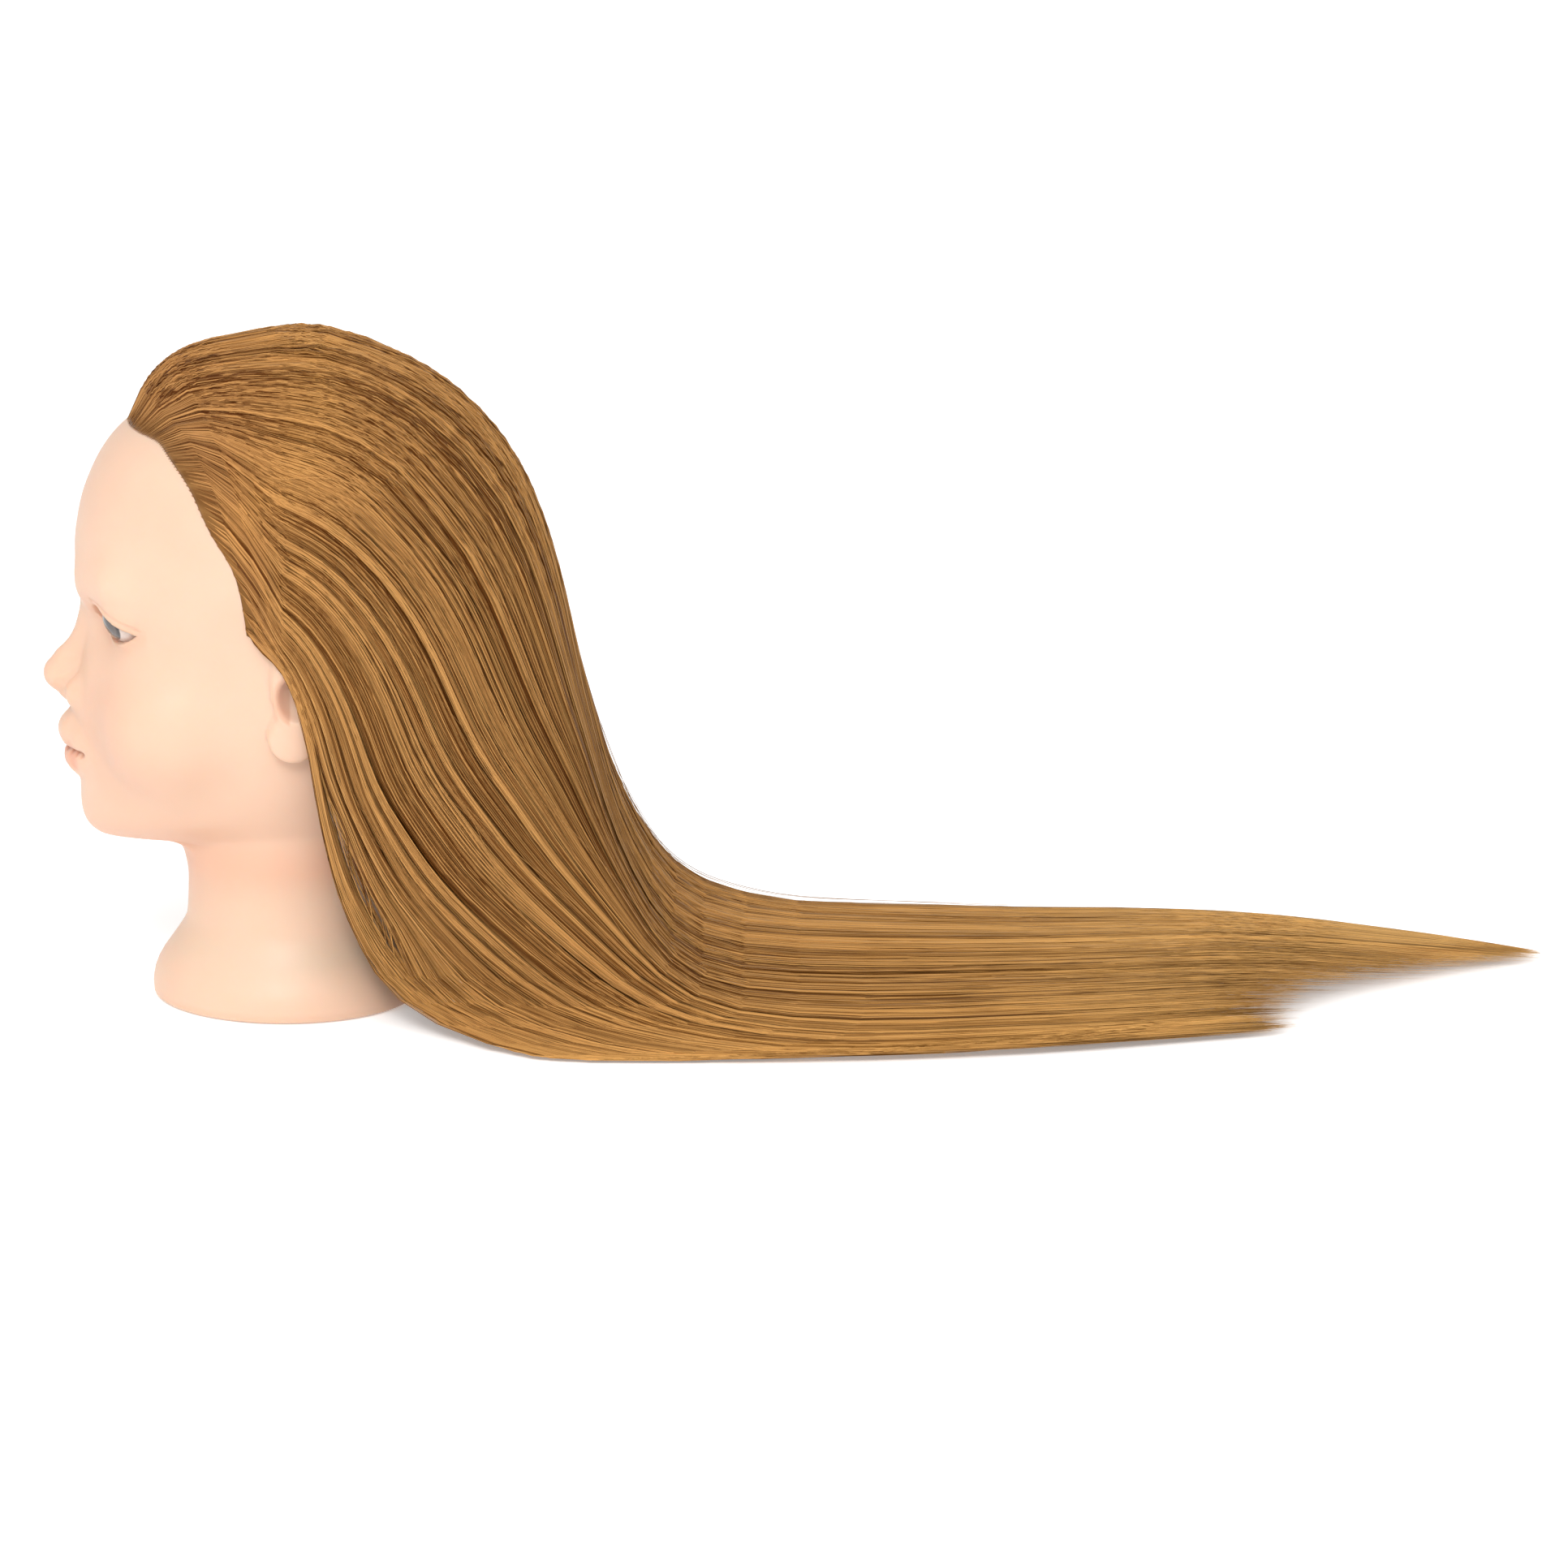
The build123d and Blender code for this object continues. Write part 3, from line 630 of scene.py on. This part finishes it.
def reach_table():
    """How far under_hair reaches from CORE, for each turn and each elevation in whole steps."""
    turn = np.radians(np.arange(-180, 182, REACH_STEP))[:, None]
    lift = np.radians(np.arange(-90, 91.5, REACH_STEP))[None, :]
    way = np.stack([np.cos(turn) * np.cos(lift), np.sin(turn) * np.cos(lift), np.sin(lift) + 0 * turn], -1)
    return march(CORE, way, under_hair, 20, 190, 70)


REACH_OF = reach_table()
CONTACT = 0.6  # how softly hair meets what it lies on


def over_scalp(p, height):
    """The point moved straight out from the middle of the head until it is at least height above it."""
    way = p - CORE
    far = np.linalg.norm(way, axis=-1)
    way = way / far[..., None]
    a = (np.degrees(np.arctan2(way[..., 1], way[..., 0])) + 180) / REACH_STEP
    b = (np.degrees(np.arcsin(np.clip(way[..., 2], -1, 1))) + 90) / REACH_STEP
    i = np.minimum(a.astype(int), int(360 / REACH_STEP))
    j = np.minimum(b.astype(int), int(180 / REACH_STEP) - 1)
    a, b = a - i, b - j
    low = REACH_OF[i, j] * (1 - a) + REACH_OF[i + 1, j] * a
    high = REACH_OF[i, j + 1] * (1 - a) + REACH_OF[i + 1, j + 1] * a
    need = low * (1 - b) + high * b + height
    gap = far - need
    return CORE + (need + CONTACT * np.logaddexp(0, gap / CONTACT))[..., None] * way


def sunk(p, amount):
    """The point moved by an amount towards the middle of the head."""
    way = p - CORE
    return p - way * (amount / np.linalg.norm(way, axis=-1))[..., None]


def tubes(name, centres, radius, layers, material, sides=3):
    """One mesh of thin tubes that end almost in points. centres is strand, ring, xyz; radius is
    strand, ring."""
    strands, rings, _ = centres.shape
    along = np.gradient(centres, axis=1)
    along /= np.maximum(np.linalg.norm(along, axis=-1, keepdims=True), 1e-9)
    guide = np.array([1.0, 0.15, 0.1])
    across = guide - along * (along @ guide)[..., None]
    across /= np.linalg.norm(across, axis=-1, keepdims=True)
    other = np.cross(along, across)
    phase = RNG.uniform(0, 2 * pi, (strands, 1))
    points = []
    for side in range(sides):
        angle = phase + 2 * pi * side / sides
        spoke = np.cos(angle)[..., None] * across + np.sin(angle)[..., None] * other
        points.append(centres + radius[..., None] * spoke)
    points = np.stack(points, 2)
    points[..., 2] = np.maximum(points[..., 2], TABLE_GAP)
    index = np.arange(strands * rings * sides).reshape(strands, rings, sides)
    right = np.roll(index, -1, 2)
    quads = np.stack([index[:, :-1], right[:, :-1], right[:, 1:], index[:, 1:]], -1).reshape(-1, 4)
    spread_out = lambda value: np.repeat(np.broadcast_to(value, (strands, rings)).ravel(), sides)
    values = [(key, spread_out(value)) for key, value in layers]
    return make_mesh(name, points.reshape(-1, 3), quads, material, values)


# How many stations before the last one the hair ends, for each u.
SHORTER = curve(
    [(-1, 0), (-0.1, 0), (0, 0.2), (0.12, 1.1), (0.3, 2.2), (0.5, 2.6), (0.7, 2.3), (0.85, 1.4),
     (1, 0.2)])
STRANDS = 1040  # in each piece
LOOSE_STRANDS = 60
RINGS = 32
FALL_RINGS = 0.81  # share of the rings that come before FALL_END
FALL_END = 17.5  # the station after which the hair lies nearly straight
PLUG = 0.016  # strands leave the skin in small tufts this far apart in u
ROOT_ROW = 0.12  # and in rows this far apart in s
TABLE_GAP = 0.05
STRAND_R = (0.17, 0.27)
LYING_DOWN = (12, 16)  # the stations between which the hair comes to lie on the table
BANDS = {"hair_top": (0.0, 0.34), "hair_middle": (0.34, 0.72), "hair_side": (0.72, 1.0)}  # in u


def slit(u, s):
    """Moves u to leave a long narrow gap behind the thin lock at the near front edge."""
    long = smooth_step(7, 9.5, s) * (1 - smooth_step(12.5, 14.5, s))
    inner = smooth_step(0.90, 0.972, u) * (1 - smooth_step(0.972, 0.975, u))
    return u - 0.015 * long * inner


def strand_tint(s, path, inside, seam, per_lock, rng):
    """How light each strand is: by lock, by strand, with painted shade where locks meet and in the hollow
    behind the neck, and painted highlight at the front edge and past the middle."""
    rate, start = per_lock(0.3, 0.9), per_lock(0, 6)
    broken = 0.5 + 0.5 * np.sin(s * rate + start + 3 * np.sign(inside)[:, None])
    # Painted shade darkens the strands where locks meet, broken along their length.
    tint = per_lock(0.25, 0.8) + rng.normal(0, 0.38, (STRANDS, 1)) - 0.7 * seam * broken
    # Painted highlight along the front edge on both sides, and over the middle and the far half.
    painted_highlight = 0.3 * np.exp(-(((np.abs(path) - 0.97) / 0.08) ** 2)) + 0.14 * (1 - smooth_step(0, 0.25, path))
    # Painted shade in the hollow behind the neck.
    shade = 0.22 * np.exp(-(((path - 0.4) / 0.25) ** 2)) * np.exp(-(((s - 12) / 3.5) ** 2))
    return np.clip(tint + painted_highlight - shade, 0, 1)


def lock_strands(low, high, depths, roots, seed, lock_size=0.03):
    """Centres, radii and layers of strands between two values of u, gathered into locks. Depths and
    roots are the least and greatest depth and the first and last station where strands are rooted."""
    count = STRANDS
    rng = np.random.default_rng(seed)
    per_strand = lambda least, most: rng.uniform(least, most, (count, 1))
    u = rng.uniform(low, high, count)

    # locks of uneven width, and where in its lock each strand is (-1 to 1)
    locks = int(max(6, (high - low) / lock_size))
    edges = np.sort(rng.uniform(low, high, locks - 1))
    even = np.linspace(low, high, locks + 1)[1:-1]
    edges = np.concatenate([[low], 0.5 * edges + 0.5 * even, [high]])
    lock = np.clip(np.searchsorted(edges, u) - 1, 0, locks - 1)
    lock_u = (edges[lock] + edges[lock + 1]) / 2
    inside = np.clip(2 * (u - lock_u) / (edges[lock + 1] - edges[lock]), -1, 1)
    seam = smooth_step(0.72, 0.95, np.abs(inside))[:, None]
    per_lock = lambda least, most: rng.uniform(least, most, locks)[lock][:, None]

    # how deep each strand lies, where it is rooted and where it ends
    depth = depths[0] + (depths[1] - depths[0]) * rng.uniform(0, 1, count) ** 1.4
    depth = depth[:, None] + 0.05 * seam + per_lock(-0.02, 0.03)
    root = roots[0] + (roots[1] - roots[0]) * rng.uniform(0, 1, count) ** 2.0
    root = np.where(root < 0.6, np.round(root / ROOT_ROW) * ROOT_ROW, root)
    end = LAST - SHORTER(u) - 3.6 * rng.uniform(0, 1, count) ** 1.9
    end = end - 0.25 * np.abs(rng.normal(0, 1, count))
    t = np.linspace(0, 1, RINGS)[None, :]
    first = np.minimum(t / FALL_RINGS, 1)
    rest = np.maximum((t - FALL_RINGS) / (1 - FALL_RINGS), 0)
    s = root[:, None] + (FALL_END - root)[:, None] * first + (end - FALL_END)[:, None] * rest
    grown = s - root[:, None]

    # the path in u: from a tuft, fanning out, gathering into the lock and fraying at the end
    gather = smooth_step(2, 16, s) * per_lock(0.08, 0.34)
    reach, rate, start = rng.normal(0, 0.0018, (count, 1)), per_strand(0.3, 0.8), per_strand(0, 6)
    fine = reach * smooth_step(0, 3, s) * np.sin(s * rate + start)
    reach, rate, start = per_lock(-0.009, 0.009), per_lock(0.15, 0.35), per_lock(0, 6)
    sway = reach * np.sin(s * rate + start) * smooth_step(4, 14, s)
    plug = np.round(u / PLUG) * PLUG + rng.normal(0, 0.0008, count)
    fan = smooth_step(0, 1.1, grown)
    path = plug[:, None] * (1 - fan) + u[:, None] * fan
    path = path + (lock_u[:, None] - path) * gather + fine + sway
    frizz = smooth_step(LAST - 8, LAST, s)
    path = np.clip(path + 0.02 * frizz * rng.normal(0, 1, (count, 1)), -1.0, 1.0)
    path = slit(path, s)
    deep = np.clip(depth + 0.3 * frizz * rng.normal(0, 1, (count, 1)), 0, 1)

    # lift it from the scalp quickly, and keep deep strands under shallow ones until they lie down
    quick = smooth_step(0, 0.8 + 1.8 * np.abs(path), grown)
    height = 0.2 + (0.5 + 3.6 * np.clip(1 - 1.6 * depth, 0, 1.1)) * quick
    sink = 22 * deep * smooth_step(0, 3, s) * (1 - smooth_step(*LYING_DOWN, s))
    p = over_scalp(sunk(route(path, s, deep), sink), height)
    p[..., 2] = np.maximum(p[..., 2], 0.5)
    taper = (1 - 0.7 * smooth_step(0.8, 1.0, t)) * (0.45 + 0.55 * smooth_step(0, 0.05, t))
    radius = per_strand(*STRAND_R) * taper
    radius[:, 0] *= 0.3
    radius[:, -1] *= 0.1
    tint = strand_tint(s, path, inside, seam, per_lock, rng)
    return p, radius, [("along", s / LAST), ("tint", tint)]


def hair_bed(side, material):
    """The inside of the mass, seen between the locks, darkened with painted shade."""
    rows, columns = 170, 80
    name = "left" if side > 0 else "right"
    s = np.linspace(0.03, LAST - 5.5, rows)[:, None] * np.ones((1, columns))
    u = np.linspace(0.0, 1.0, columns)[None, :] * np.ones((rows, 1))
    drawn_in = 0.05 * smooth_step(6, 9, s) * (1 - smooth_step(14.5, 16.5, s))
    u = side * u * (1 - 0.03 * smooth_step(0.3, 3, s) - drawn_in)
    groove = 0.03 * np.sin(u * 90 + 2 * np.sin(s * 0.4)) + 0.02 * np.sin(u * 210 + 3 * np.sin(s * 0.3))
    sink = 7.0 * smooth_step(0, 0.5, s) * (1 - smooth_step(*LYING_DOWN, s))
    top = over_scalp(sunk(route(u, s, 0.34 + groove), sink), 0.25 + 1.1 * smooth_step(0, 1.5, s))
    under = over_scalp(sunk(route(u, s, np.ones_like(s)), sink + 3.0), np.full_like(s, 0.1))
    under[..., 2] = np.maximum(under[..., 2], 0.1)
    top[..., 2] = np.maximum(top[..., 2], under[..., 2] + 0.1)
    index = np.arange(rows * columns).reshape(rows, columns)
    lower = index + rows * columns
    a = np.stack([index[:-1, :-1], index[:-1, 1:], index[1:, 1:], index[1:, :-1]], -1).reshape(-1, 4)
    b = np.stack([lower[:-1, :-1], lower[1:, :-1], lower[1:, 1:], lower[:-1, 1:]], -1).reshape(-1, 4)
    walls = []
    for line, other in ((index[0], lower[0]), (index[-1, ::-1], lower[-1, ::-1]),
                        (index[::-1, 0], lower[::-1, 0]), (index[:, -1], lower[:, -1])):
        walls.append(np.stack([line[:-1], other[:-1], other[1:], line[1:]], -1))
    quads = np.concatenate([a, b] + walls)
    if side < 0:
        quads = quads[:, ::-1]
    points = np.concatenate([top.reshape(-1, 3), under.reshape(-1, 3)])
    along = np.tile((s / LAST).ravel(), 2)
    tint = np.tile((0.5 + 6 * groove).ravel(), 2)
    layers = [("along", along), ("tint", np.clip(tint, 0, 1))]
    piece = make_mesh(f"hair_bed_{name}", points, quads, material, layers)
    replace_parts(piece, f"hair_nape_{name}")


def loose_strands(material):
    """A few strands that lie across the others or stand off them."""
    rng = np.random.default_rng(41)
    per_strand = lambda least, most: rng.uniform(least, most, (LOOSE_STRANDS, 1))
    t = np.linspace(0, 1, RINGS)[None, :]
    s = t * per_strand(5, 11) + per_strand(1, 12)
    u = per_strand(-1, 1) + rng.normal(0, 0.012, (LOOSE_STRANDS, 1)) * (s - s[:, :1])
    rate, start = per_strand(0.4, 1.2), per_strand(0, 6)
    u = np.clip(u + 0.012 * np.sin(s * rate + start), -1, 1)
    s = np.minimum(s, LAST)
    off = per_strand(0.6, 3.2) * np.sin(pi * t) ** 0.7
    p = over_scalp(route(u, s, np.zeros_like(s)), 4.0 + off)
    p = p + off[..., None] * np.array([0.5, 0.3, 0.8]) * smooth_step(8, 12, s)[..., None]
    radius = per_strand(0.08, 0.13) * np.sin(pi * np.clip(t, 0.01, 0.99)) ** 0.3
    tint = per_strand(0.5, 1.0) * np.ones((1, RINGS))
    tubes("hair_loose_strands", p, radius, [("along", s / LAST), ("tint", tint)], material)


def build_hair():
    """On each side a bed darkened with painted shade and, for each band, strands on top and strands under
    them.
    """
    fibre = hair_material("hair_fibre", 0.0)
    # The bed's material is darkened with painted shade.
    deep = hair_material("hair_inside_painted_shade", 0.5)
    for side in (1, -1):
        name = "left" if side > 0 else "right"
        hair_bed(side, deep)
        for k, (band, (low, high)) in enumerate(BANDS.items()):
            low, high = sorted((side * low, side * high))
            seed = 100 * k + side
            outer = lock_strands(low, high, (0.0, 0.10), (0.0, 1.2), seed + 5)
            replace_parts(tubes(f"{band}_{name}_strands", *outer, fibre), f"{band}_{name}")
            inner = lock_strands(low, high, (0.08, 0.32), (0.0, 7.0), seed + 55, 0.02)
            tubes(f"{band}_{name}_under", *inner, fibre)
    loose_strands(fibre)


# ---- put it together -----------------------------------------------------------------------------
skin = skin_material()
vinyl_head = head_skin(skin)
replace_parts(vinyl_head, "head_shell")
for side in (1, -1):
    eye_globe(side)
build_hair()

# CAD pieces that are shown as they are: node, material name, its two colours and the rest of it.
CARRIED = [
    ("scalp_root_lining", "root_glue", (214, 196, 150), (228, 212, 170), 60, 0.45),
    ("clamp_socket", "socket_plastic", (26, 26, 27), (38, 38, 40), 80, 0.5),
    ("neck_base_plate", "base_plastic", (222, 217, 206), (232, 228, 219), 70, 0.5),
    ("socket_steady", "steady_plastic", (220, 214, 202), (230, 225, 214), 70, 0.5),
    ("base_plate_screws", "screw_zinc", (150, 150, 152), (190, 190, 192), 300, 0.35, 0.2, 1.0),
]
for node, name, dark, light, *rest in CARRIED:
    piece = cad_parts[node]
    piece.data.materials.clear()
    piece.data.materials.append(plain_material(name, linear(*dark), linear(*light), *rest))


# ---- floor, light and camera ---------------------------------------------------------------------
def stage():
    """A plain white floor in a white room."""
    bpy.ops.mesh.primitive_plane_add(size=80, location=(0, 0, -0.0004))
    floor = bpy.context.object
    floor.name = "floor"
    n = Nodes("white_sweep")
    tone = n.ramp(n.noise(900, 2), (0.3, linear(250, 250, 250)), (0.7, linear(254, 254, 254)))
    n.set(Base_Color=tone, Roughness=0.9)
    n.set(Emission_Color=(1, 1, 1, 1), Emission_Strength=0.25)
    n.bump(n.noise(1600, 2), 0.1, 0.0003)
    floor.data.materials.append(n.material)
    world = bpy.data.worlds.new("white_room")
    bpy.context.scene.world = world
    world.use_nodes = True
    background = world.node_tree.nodes["Background"]
    background.inputs["Color"].default_value = (1, 1, 1, 1)
    background.inputs["Strength"].default_value = 0.7
    bpy.context.scene.view_settings.view_transform = "Standard"


def lamp(name, kind, place, aim, power, **size):
    """A light at a place, turned towards its aim."""
    light = bpy.data.lights.new(name, kind)
    light.energy = power
    for key, value in size.items():
        setattr(light, key, value)
    holder = bpy.data.objects.new(name, light)
    bpy.context.collection.objects.link(holder)
    holder.location = place
    way = Vector(aim) - Vector(place)
    holder.rotation_mode = "QUATERNION"
    holder.rotation_quaternion = way.to_track_quat("-Z", "Y")


# Metres and degrees.
AIM = (0.0, 0.205, 0.0877)
DISTANCE = 6.0
VIEW_WIDTH = 0.647  # width of what is seen at the aim
ELEVATION = 15
SENSOR_MM = 36


def camera():
    """The camera looks at the head's left side from a little above."""
    elevation = radians(ELEVATION)
    data = bpy.data.cameras.new("camera")
    data.sensor_width = SENSOR_MM
    data.lens = SENSOR_MM * DISTANCE / VIEW_WIDTH
    holder = bpy.data.objects.new("camera", data)
    bpy.context.collection.objects.link(holder)
    back, up = DISTANCE * cos(elevation), DISTANCE * sin(elevation)
    holder.location = (AIM[0] + back, AIM[1], AIM[2] + up)
    holder.rotation_euler = (pi / 2 - elevation, 0, pi / 2)
    bpy.context.scene.camera = holder


stage()
lamp("room", "SUN", (2.4, -0.6, 3.0), (0, 0, 0), 1.2, angle=radians(50))
lamp("key", "AREA", (1.5, -0.2, 1.2), (0, 0.1, 0.12), 15, size=0.5)
camera()
